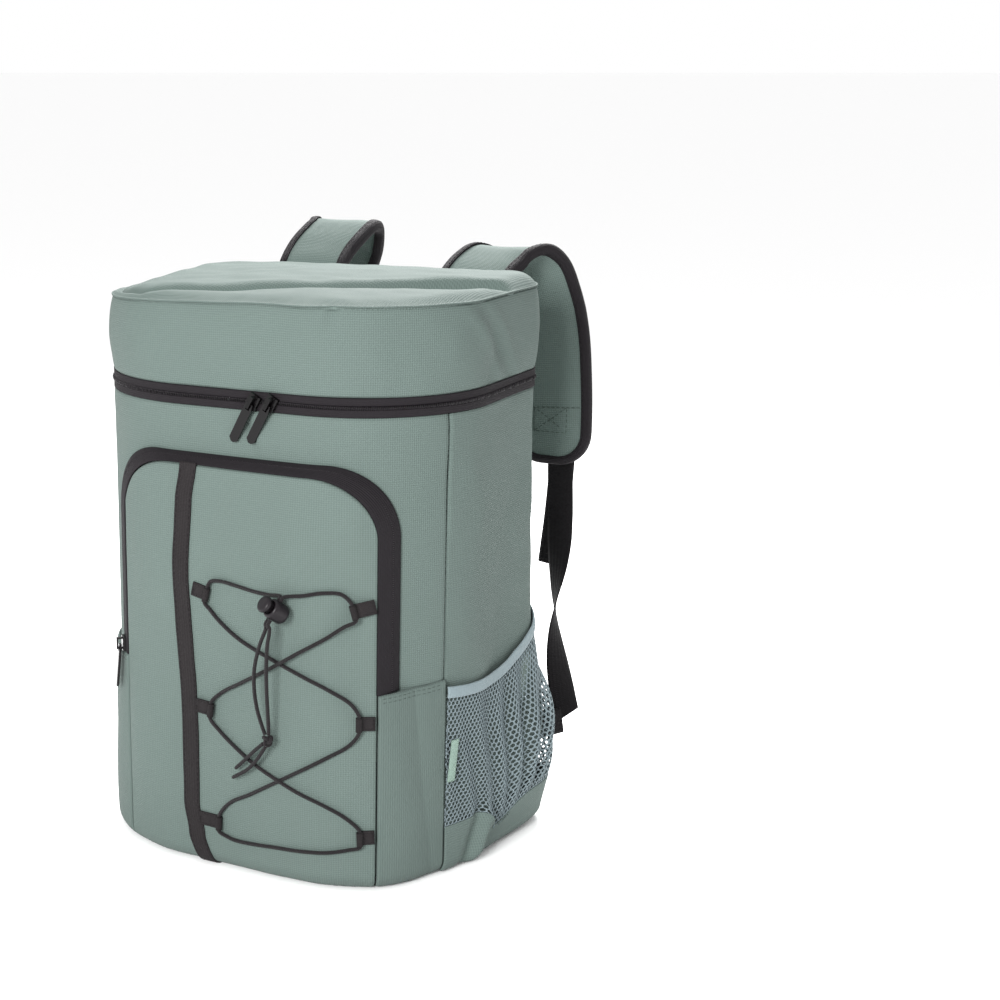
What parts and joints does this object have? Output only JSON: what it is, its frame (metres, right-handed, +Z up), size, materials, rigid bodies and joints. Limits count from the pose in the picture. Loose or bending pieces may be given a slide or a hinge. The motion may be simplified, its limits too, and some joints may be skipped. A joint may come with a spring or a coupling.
{
  "type": "cooler backpack",
  "caption": "Soft insulated backpack with a zipped lid, a laced front pocket, net side pockets and two padded shoulder straps.",
  "frame": {"origin": "centre of the base, on the surface the bag stands on", "axes": "+Z up, the front pocket faces -Y, the shoulder straps are on the +Y side, +X to the right seen from the front"},
  "size_m": [0.3522, 0.3565, 0.4631],
  "materials": {
    "shell_cloth": "matte woven polyester, sage green",
    "dark_trim": "matte woven tape, warm dark grey",
    "webbing": "ribbed webbing, dark grey",
    "cord": "braided elastic cord, dark grey",
    "net": "knitted net, blue-grey",
    "net_binding": "folded elastic binding, blue-grey",
    "label": "smooth pale green label, blank",
    "plastic": "moulded, satin, dark grey",
    "zip_hardware": "glossy black"
  },
  "bodies": {
    "root": {"front_panel": "shell_cloth", "side_panel_left": "shell_cloth", "side_panel_right": "shell_cloth", "back_panel": "shell_cloth", "base_panel": "shell_cloth", "lid_skirt": "shell_cloth", "lid_top": "shell_cloth", "lid_front_fold": "shell_cloth", "lid_piping": "shell_cloth", "main_zip_tape_lower": "dark_trim", "main_zip_coil": "zip_hardware", "main_zip_tape_upper": "dark_trim", "main_slider_left": "zip_hardware", "main_slider_right": "zip_hardware", "pocket_face": "shell_cloth", "pocket_gusset_left": "shell_cloth", "pocket_gusset_right": "shell_cloth", "pocket_zip_tape": "dark_trim", "pocket_slider": "zip_hardware", "accent_stripe": "dark_trim", "cord_tab_left_1": "dark_trim", "cord_tab_left_2": "dark_trim", "cord_tab_left_3": "dark_trim", "cord_tab_right_1": "dark_trim", "cord_tab_right_2": "dark_trim", "cord_tab_right_3": "dark_trim", "bungee_cord": "cord", "cord_lock_barrel": "plastic", "cord_end_left": "cord", "cord_end_right": "cord", "cord_knot": "cord", "cord_tail_upper": "cord", "cord_tail_lower": "cord", "net_left": "net", "net_right": "net", "net_binding_left": "net_binding", "net_binding_right": "net_binding", "net_band_left": "shell_cloth", "net_band_right": "shell_cloth", "seam_label": "label", "strap_pad_left": "shell_cloth", "strap_pad_right": "shell_cloth", "strap_binding_left": "dark_trim", "strap_binding_right": "dark_trim", "ladder_lock_left": "plastic", "ladder_lock_right": "plastic", "strap_webbing_left": "webbing", "strap_webbing_right": "webbing", "webbing_tail_left": "webbing", "webbing_tail_right": "webbing", "webbing_anchor_left": "webbing", "webbing_anchor_right": "webbing"},
    "main_puller_left": {"main_puller_left": "zip_hardware"},
    "main_puller_right": {"main_puller_right": "zip_hardware"},
    "pocket_puller": {"pocket_puller": "zip_hardware"},
    "cord_lock_button": {"cord_lock_button": "plastic"}
  },
  "joints": [
    {"name": "main_puller_left_hinge", "type": "hinge", "parent": "root", "child": "main_puller_left", "pos_m": [0.01456, -0.1135, 0.3566], "axis": [-0.8678, 0, 0.4969], "range_deg": [0, 110]},
    {"name": "main_puller_right_hinge", "type": "hinge", "parent": "root", "child": "main_puller_right", "pos_m": [0.02875, -0.1135, 0.3566], "axis": [-0.8678, 0, 0.4969], "range_deg": [0, 110]},
    {"name": "pocket_puller_hinge", "type": "hinge", "parent": "root", "child": "pocket_puller", "pos_m": [-0.11105, -0.0981, 0.1565], "axis": [-0.6486, 0.7612, 0], "range_deg": [0, 110]},
    {"name": "cord_lock_slide", "type": "slide", "parent": "root", "child": "cord_lock_button", "axis": [0.3993, 0.7188, -0.5691], "range_m": [0, 0.003], "stiffness_N_per_m": 40, "springref_m": -0.006}
  ]
}
